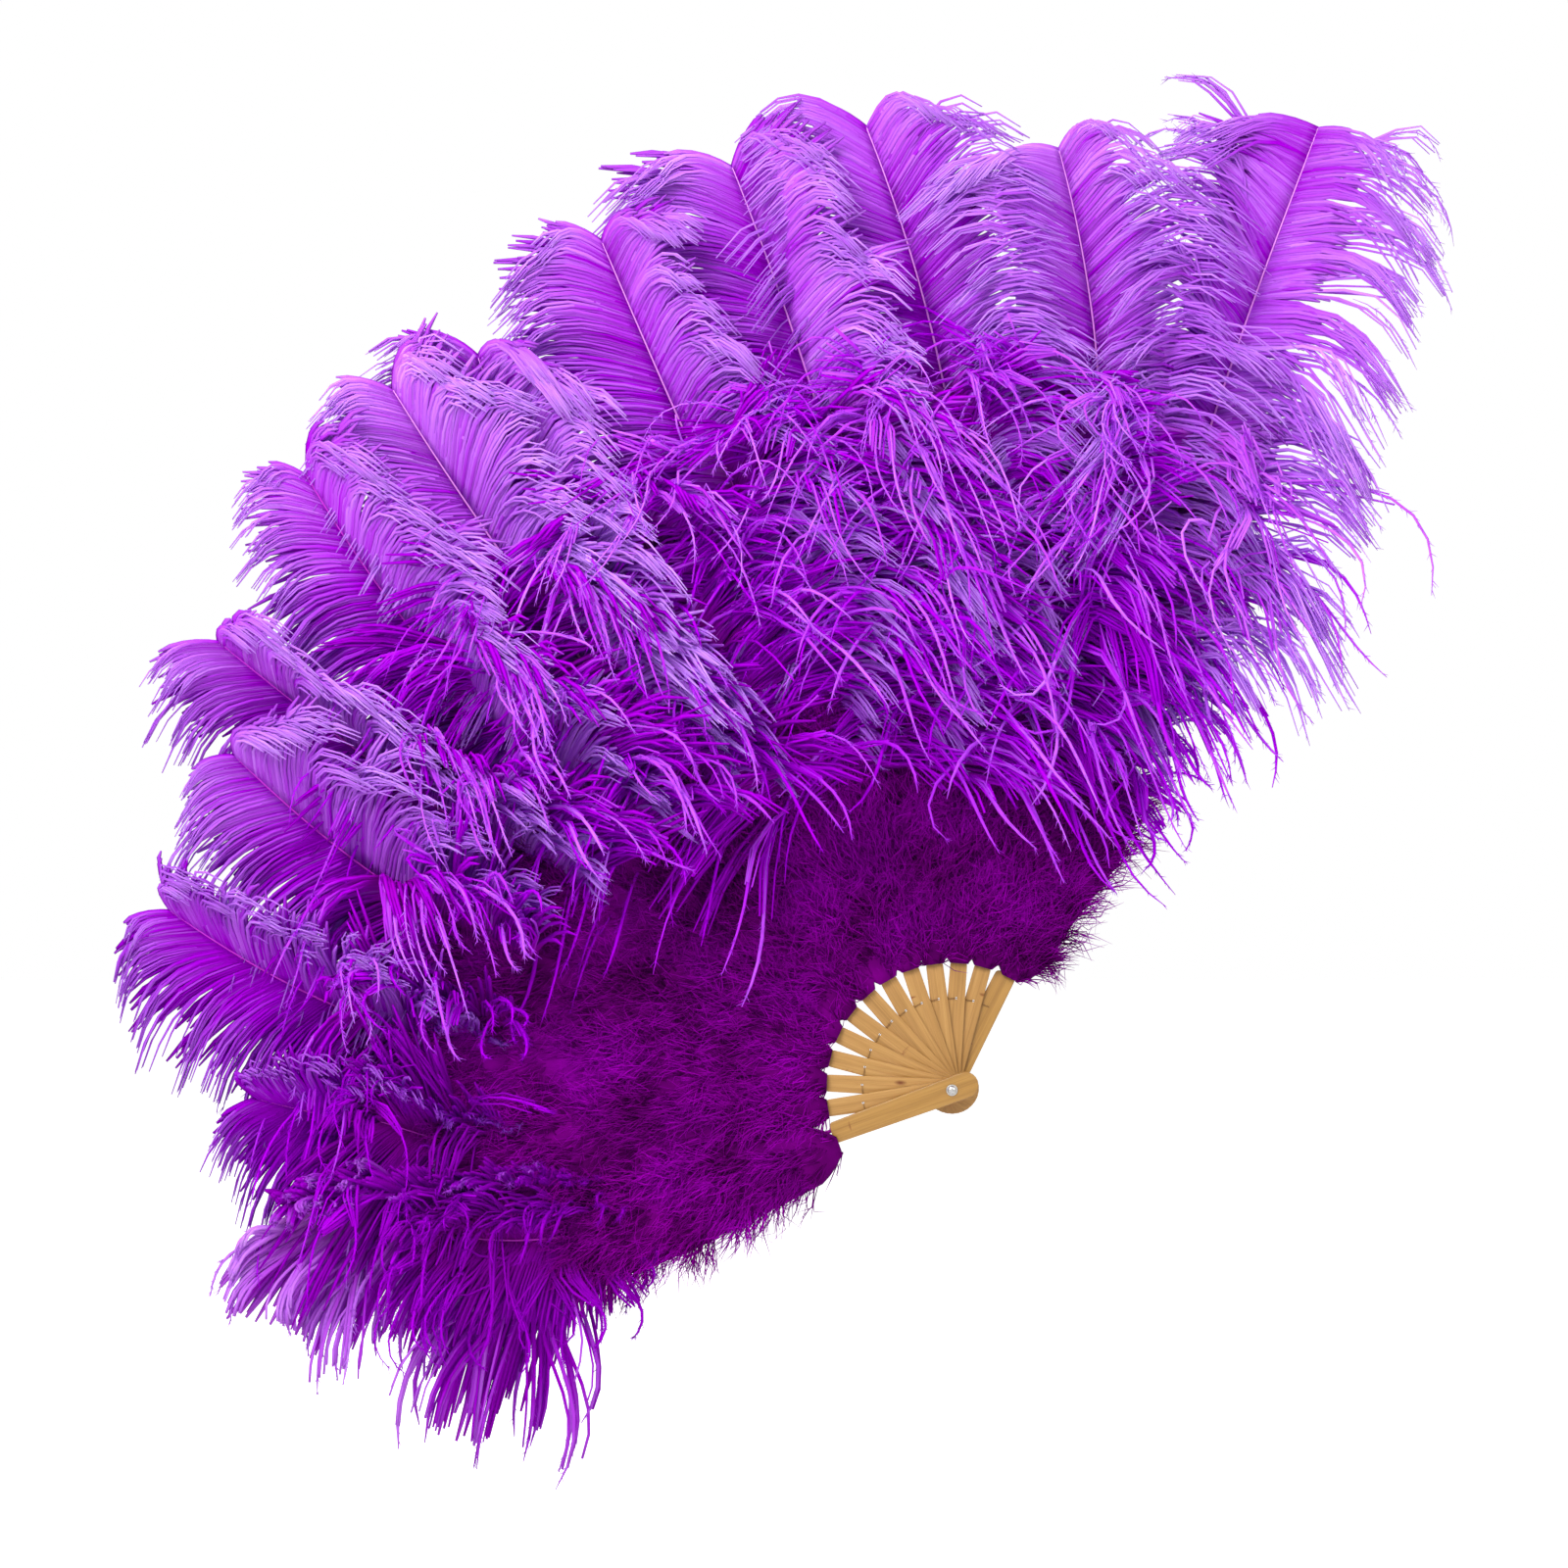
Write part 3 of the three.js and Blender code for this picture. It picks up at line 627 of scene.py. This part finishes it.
def plume(rng, leaf, name, kind, flue, quill):
    """One plume: its quill, with a vane on each side."""
    bow = rng.normal(0, 0.03)
    nod = kind.nod * rng.uniform(0.6, 1.4)
    shaft = shaft_path(leaf, kind, bow, nod)
    tilt = VANE_TILT + math.radians(rng.normal(0, 9))
    # The plume's base tone: a little chance, and painted shade that makes the plumes of leaves 1 to 5 darker, the
    # more so the nearer the front. The rear plume is made lighter all over.
    share_front = (STICK_COUNT - leaf.number) / (STICK_COUNT - 1)
    base_tone_and_shade = 0.5 + rng.normal(0, 0.05) - 0.2 * max(0, share_front - 0.6) / 0.4
    if leaf.number == STICK_COUNT:
        base_tone_and_shade += 0.1
    taper = np.interp(np.linspace(0, 1, SHAFT_STEPS), [0, 0.5, 1], [1, 0.72, 0.25])[None, :]
    width = QUILL_HALF_WIDTH * taper
    shaft_tube = tubes(held_in(shaft[None] + FACING), width, 0.5 * width, 8)
    bundles = [(shaft_tube, np.array([0.5]), quill, (0.0, 1.0))]
    for side in (-1, 1):
        bundles += vane(rng, barb_row(rng, leaf, kind, side, shaft, tilt), base_tone_and_shade, flue)
    piece = feather_piece(name, bundles)
    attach(piece, leaf.body)
    press_when_closed(piece)
    return piece


# A kind of plume. tips gives the length of each leaf's shaft and the angle of its tip. The other lists run
# from foot to tip. The three for hang say how much longer barbs are on a side that faces the ground. deep is
# how much darker the fluff behind the barbs is painted: painted shade.
Plume = namedtuple("Plume", (
    "tips offset depth nod vane_from "  # shaft
    "spacing barb outline low hang_left hang_front hang_right "  # number and length of the barbs
    "spread forward sag arch curl stray "  # the way they go
    "head string lock pull cling_from "  # how they cling
    "rings half_width thin deep rope rope_from downy"  # how thick they are
))
LONG = Plume(
    tips=[(428, 99.7), (455, 90), (535, 76.5), (532, 64.6), (588, 58.2), (604, 46.3), (612, 38.6), (596, 33),
          (632, 22.7), (652, 13.8), (662, 5.6), (652, -5.8), (706, -20)],
    offset=2, depth=2.0, nod=math.radians(30), vane_from=275,
    spacing=1.2, barb=126, outline=[0.6, 0.95, 1.08, 1.05, 0.7], low=1.0,
    hang_left=[0.5, 0.1, -0.05, -0.45], hang_front=[1.35, 1.1, -0.1, -0.25], hang_right=[0.3, 0.9, 0.9, 0.1],
    spread=[1.25, 0.95, 0.6], forward=0.1, sag=[0.42, 0.34, 0.2], arch=0.8, curl=0.9, stray=0.8,
    head=0.3, string=5, lock=26, pull=0.6, cling_from=0.4,
    rings=[0, 1, 3, 5, 7, 9, 11], half_width=1.35, thin=[0.5, 0.15], deep=0.14,
    rope=0.95, rope_from=6, downy=12,
)
FRINGE = LONG._replace(  # the lowest long plume, whose barbs hang in soft bunches
    spacing=0.9, sag=[0.22, 0.2, 0.2], curl=0.1, stray=1.1, string=7, pull=0.8, cling_from=0.25,
    rings=list(range(BARB_STEPS)), half_width=1.7, thin=[0.7, 0.45], rope=1.9, rope_from=4, downy=40,
)
SHORT = Plume(
    tips=[(345, 104), (365, 92), (382, 80), (398, 68.5), (412, 57), (424, 47), (436, 38), (446, 29),
          (454, 20), (460, 10), (465, 0.5), (468, -9), (470, -20)],
    offset=-2, depth=1.8, nod=math.radians(35), vane_from=240,
    spacing=1.2, barb=200, outline=[0.95, 1, 1, 0.9, 0.6], low=0.85,
    hang_left=[0, 0, 0, 0], hang_front=[-0.85, -0.4, -0.35, -0.3], hang_right=[-1.1, -0.8, -0.2, 0],
    spread=[1.6, 1.0, 0.6], forward=0.16, sag=[0.36, 0.36, 0.36], arch=0.3, curl=0.3, stray=2.3,
    head=0.9, string=6, lock=24, pull=0.85, cling_from=0.25,
    rings=[0, 1, 2, 4, 6, 8], half_width=1.1, thin=[0.5, 0.15], deep=0.25,
    rope=1.3, rope_from=4, downy=34,
)
LONG_SEED = 100  # to which a leaf's number is added
SHORT_SEED = 200
PALE_QUILL_FROM = 7  # the first leaf with a pale quill

ostrich_long = dyed_barb("dyed_ostrich_barb", "#BE58E8", "#CA74F6", "#D092FC", 0.12, 0.86, 0.12)
ostrich_short = dyed_barb("dyed_ostrich_barb_short", "#9600A0", "#B010DC", "#CA54FC", 0.12, 0.9, 0.12)
ostrich_fringe = dyed_barb("dyed_ostrich_barb_fringe", "#9A20B0", "#B43CDA", "#C470EC", 0.12, 0.86, 0.12)
quill_long = dyed_quill("dyed_quill", "#C030C8", "#E890EE")
quill_short = dyed_quill("dyed_quill_short", "#A800A4", "#CC30D4")
for leaf in leaves:
    kind, flue = (FRINGE, ostrich_fringe) if leaf.number == 1 else (LONG, ostrich_long)
    quill = quill_long if leaf.number >= PALE_QUILL_FROM else quill_short
    rng = np.random.default_rng(LONG_SEED + leaf.number)
    long_plume = plume(rng, leaf, f"long_plume_{leaf.label}", kind, flue, quill)
    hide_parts(f"outer_plume_{leaf.label}")
    rng = np.random.default_rng(SHORT_SEED + leaf.number)
    short_plume = plume(rng, leaf, f"short_plume_{leaf.label}", SHORT, ostrich_short, quill_short)
    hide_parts(f"inner_plume_{leaf.label}")


# The foot of the plumes is hidden by tufts of marabou, the down of a stork-like bird, dyed darker than the
# plumes. Each stick has one tuft, of fine loose barbs that stand out all round and give back little light.
DOWN_SEED = 300
STICK_REACH = 97  # from the rivet to a stick's tip
PAD_STEPS = 30
PAD_CORNERS = 20
PAD_OVERLAP = 2  # over the stick's tip
PAD_FORWARD = 2.5  # in front of the stick's face
PAD_HALF_ANGLE = 0.125  # in radians, so that neighbours overlap
PAD_ASIDE = {1: 10, STICK_COUNT: -4}  # the outer tufts spread past their guards
PAD_WIDER = {1: 8, STICK_COUNT: 6}
HAIR_COUNT = 3000
HAIRS_PER_WISP = 12
HAIR_STEPS = 2
HAIR_LENGTH = 30
HAIR_HALF_WIDTH = 0.4
marabou_down = dyed_barb("dyed_marabou_down", "#6C0072", "#92009C", "#B408C8", 0.5, 1.1, 0.15)


def pad(rng, leaf):
    """The felted middle of a tuft, from its stick's tip outwards: where it runs, how wide and how thick it is."""
    far = np.linspace(0, 1, PAD_STEPS)
    radius = STICK_REACH - PAD_OVERLAP + (down_reach(leaf) - HAIR_LENGTH - STICK_REACH) * far
    angle = leaf.angle + PAD_ASIDE.get(leaf.number, 0) / radius
    path = fan_point(leaf, radius, angle, -PAD_FORWARD - dish(radius))
    wide = PAD_HALF_ANGLE * radius + PAD_WIDER.get(leaf.number, 0) * np.minimum(1, far / 0.1)
    wide *= np.interp(far, [0, 0.04, 0.7, 1], [0.6, 1, 1, 0.75]) * (1 + 0.05 * waves(rng, far))
    return path, wide, np.interp(far, [0, 0.15, 0.9, 1], [1.5, 5, 6, 2])


def tuft(rng, leaf):
    """A tuft of down: its felted middle, and fine barbs all over it that lie outwards in wisps."""
    path, wide, thick = pad(rng, leaf)
    felt = tubes(path[None], wide[None], thick[None], PAD_CORNERS)
    felt[..., 1] += rng.normal(0, 0.7, felt.shape[:3])

    count = HAIR_COUNT
    wisps = count // HAIRS_PER_WISP
    wisp = rng.integers(0, wisps, count)
    far = np.clip((rng.uniform(0, 1, wisps) ** 0.8)[wisp] + rng.normal(0, 0.02, count), 0, 1)
    across = np.clip(rng.uniform(-1, 1, wisps)[wisp] + rng.normal(0, 0.08, count), -1, 1)
    face = np.where(rng.uniform(0, 1, wisps) < 0.75, 1, -1)[wisp]
    steps = np.linspace(0, 1, PAD_STEPS)
    middle = np.stack([np.interp(far, steps, path[:, axis]) for axis in range(3)], axis=1)
    outwards = np.arctan2(-middle[:, 0], middle[:, 2])
    sideways = np.stack([np.cos(outwards), np.zeros(count), np.sin(outwards)], axis=1)
    roots = middle + sideways * (across * np.interp(far, steps, wide))[:, None]
    roots += FACING * (face * np.sqrt(1 - across ** 2) * np.interp(far, steps, thick))[:, None]

    turn = outwards - 0.9 * across * np.abs(across)
    turn += rng.normal(0, 0.4, wisps)[wisp] + rng.normal(0, 0.22, count)
    rise = np.abs(0.3 + 0.25 * rng.normal(0, 1, wisps)[wisp] + 0.15 * rng.normal(0, 1, count))
    heading = np.stack([-np.sin(turn), -face * rise - DISH_SLOPE * far, np.cos(turn)], axis=1)
    wander = [rng.normal(0, 0.1, (count, 3)), rng.normal(0, 0.1, (count, 3))]
    reach = rng.uniform(0.6, 1.3, count) * HAIR_LENGTH * np.interp(far, [0, 0.2], [0.6, 1])
    sag = rng.uniform(0, 0.06, (count, 1)) * DOWN
    paths = held_in(grow(roots, heading, reach, HAIR_STEPS, sag, np.zeros((count, 3)), wander))
    shape = np.interp(np.linspace(0, 1, HAIR_STEPS + 1), [0, 0.5, 1], [0.9, 1, 0.2])
    width = HAIR_HALF_WIDTH * shape[None, :] * rng.uniform(0.7, 1.3, (count, 1))
    # Patches of lighter and darker dye by chance, and painted light that makes the tufts of leaves 1 to 4 lighter
    # towards their ends, where the strings shade them less.
    patches_and_shade = 0.2 * waves(rng, far) + 0.12 * waves(rng, across) + (0.25 * far if leaf.number < 5 else 0)
    tone_and_shade = np.clip(0.42 + patches_and_shade + 0.07 * rng.normal(0, 1, wisps)[wisp] + rng.normal(0, 0.08, count), 0, 1)
    return feather_piece(f"marabou_tuft_{leaf.label}", [
        (felt, np.array([0.25]), marabou_down, (0.0, 0.5)),
        (tubes(paths, width, 0.6 * width, 3), tone_and_shade, marabou_down, (0.0, 1.0)),
    ])


for leaf in leaves:
    down = tuft(np.random.default_rng(DOWN_SEED + leaf.number), leaf)
    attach(down, leaf.body)
    press_when_closed(down)
    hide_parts(f"marabou_{leaf.label}")


# The tie is one waxed cotton thread, through a hole in each stave and glued inside the two guards. It stops
# the sticks at full spread. Each stretch is drawn straight between two sticks, as at full spread, and moves with
# the stick behind it.
THREAD_REACH = 68  # from the rivet
THREAD_RADIUS = 0.35
THREAD_STEPS = 9
THREAD_LEAVES = 1.2  # depth in the stick that a stretch comes from, behind its front
THREAD_BETWEEN = 1.9  # depth behind the same front, between two sticks
THREAD_ENTERS = 0.8  # depth in the stick that it goes to, behind that one's front

# Waxed cotton: twisted plies with a dull brown shine. The plies are drawn 0.6 mm wide, coarser than real ones.
waxed_cotton = new_material("waxed_cotton")
place = add_node(waxed_cotton, "ShaderNodeTexCoord").outputs["Object"]
ply = add_node(waxed_cotton, "ShaderNodeTexNoise", {"Vector": place, "Scale": 1 / (0.6 * MM), "Detail": 2.0})
cotton_colour = colours_along(waxed_cotton, ply.outputs["Fac"], [(0.3, "#6E4A20"), (0.7, "#9A7440")])
cotton_bump = add_node(waxed_cotton, "ShaderNodeBump", {
    "Height": ply.outputs["Fac"], "Strength": 0.6, "Distance": 0.1 * MM,
})
cotton_shader = add_node(waxed_cotton, "ShaderNodeBsdfPrincipled", {
    "Base Color": cotton_colour, "Roughness": 0.7, "Normal": cotton_bump.outputs["Normal"],
})
add_node(waxed_cotton, "ShaderNodeOutputMaterial", {"Surface": cotton_shader.outputs["BSDF"]})

for leaf, behind in zip(leaves, leaves[1:]):
    near, far = (fan_point(each, THREAD_REACH, each.angle, 0.0) for each in (leaf, behind))
    path = near + (far - near) * np.linspace(0, 1, THREAD_STEPS)[:, None]
    path[:, 1] = leaf.front + THREAD_BETWEEN
    path[0, 1] = leaf.front + THREAD_LEAVES
    path[-1, 1] = behind.front + THREAD_ENTERS
    radius = np.full((1, THREAD_STEPS), THREAD_RADIUS)
    thread = tubes(path[None], radius, radius, 6)
    span = feather_piece(f"thread_span_{leaf.label}", [(thread, np.array([0.5]), waxed_cotton, (0.0, 1.0))])
    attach(span, behind.body)
    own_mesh(span)
    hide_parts("tie_thread")


# The fan is shown held up in front of white paper, in even light from the front and above. The paper is seen
# white, but gives no more light to the fan than paper does. Lengths here are in metres.
FLOOR = -0.42
FLOOR_SIZE = 16
PAPER_GLOW = 0.6  # seen only by the camera
SKY_LIGHT = 0.47  # of the white that the camera sees
AIM_ABOVE = 0.15  # the middle of the picture
FRAME_WIDTH = 1.2
CAMERA_DISTANCE = 2.4
CAMERA_HEIGHT = 0.2325
CAMERA_ASIDE = -0.1275
STICK_PLANE = -0.02

studio_paper = new_material("studio_paper")
light_path = add_node(studio_paper, "ShaderNodeLightPath")
seen = add_node(studio_paper, "ShaderNodeMath", {
    0: light_path.outputs["Is Camera Ray"], 1: PAPER_GLOW,
}, operation="MULTIPLY")
paper_shader = add_node(studio_paper, "ShaderNodeBsdfPrincipled", {
    "Base Color": linear("#F2F2F2"), "Roughness": 0.9, "Specular IOR Level": 0.1,
    "Emission Color": linear("#FFFFFF"), "Emission Strength": seen.outputs["Value"],
})
add_node(studio_paper, "ShaderNodeOutputMaterial", {"Surface": paper_shader.outputs["BSDF"]})
bpy.ops.object.select_all(action="DESELECT")
bpy.ops.mesh.primitive_plane_add(size=FLOOR_SIZE, location=(0, 0, FLOOR))
floor = bpy.context.object
floor.name = "studio_floor"
floor.data.materials.append(studio_paper)

world = bpy.data.worlds.new("studio")
bpy.context.scene.world = world
world.use_nodes = True
world.node_tree.nodes.clear()
rays = add_node(world, "ShaderNodeLightPath")
direct = add_node(world, "ShaderNodeMath", {
    0: rays.outputs["Is Camera Ray"], 1: rays.outputs["Is Glossy Ray"],
}, operation="MAXIMUM")
shown = add_node(world, "ShaderNodeMath", {
    0: direct.outputs["Value"], 1: rays.outputs["Is Transmission Ray"],
}, operation="MAXIMUM")
level = add_node(world, "ShaderNodeMapRange", {
    "Value": shown.outputs["Value"], "To Min": SKY_LIGHT, "To Max": 1.0,
})
sky = add_node(world, "ShaderNodeBackground", {
    "Color": linear("#FFFFFF"), "Strength": level.outputs["Result"],
})
add_node(world, "ShaderNodeOutputWorld", {"Surface": sky.outputs["Background"]})

for name, place, size, power in (
    ("key_light", (-0.9, -1.6, 1.4), 1.0, 42),
    ("fill_light", (1.6, -2.0, 1.1), 1.4, 13),
    ("top_light", (0.2, 0.9, 2.2), 1.2, 30),
):
    bpy.ops.object.light_add(type="AREA", location=place)
    lamp = bpy.context.object
    lamp.name = name
    lamp.data.energy = power
    lamp.data.size = size
    aim = Vector((CAMERA_ASIDE, STICK_PLANE, CAMERA_HEIGHT + AIM_ABOVE)) - Vector(place)
    lamp.rotation_euler = aim.to_track_quat("-Z", "Y").to_euler()

bpy.ops.object.camera_add(
    location=(CAMERA_ASIDE, STICK_PLANE - CAMERA_DISTANCE, CAMERA_HEIGHT),
    rotation=(math.pi / 2, 0, 0),
)
camera = bpy.context.object
camera.data.lens = camera.data.sensor_width * CAMERA_DISTANCE / FRAME_WIDTH
bpy.context.scene.camera = camera
bpy.context.scene.view_settings.view_transform = "Standard"
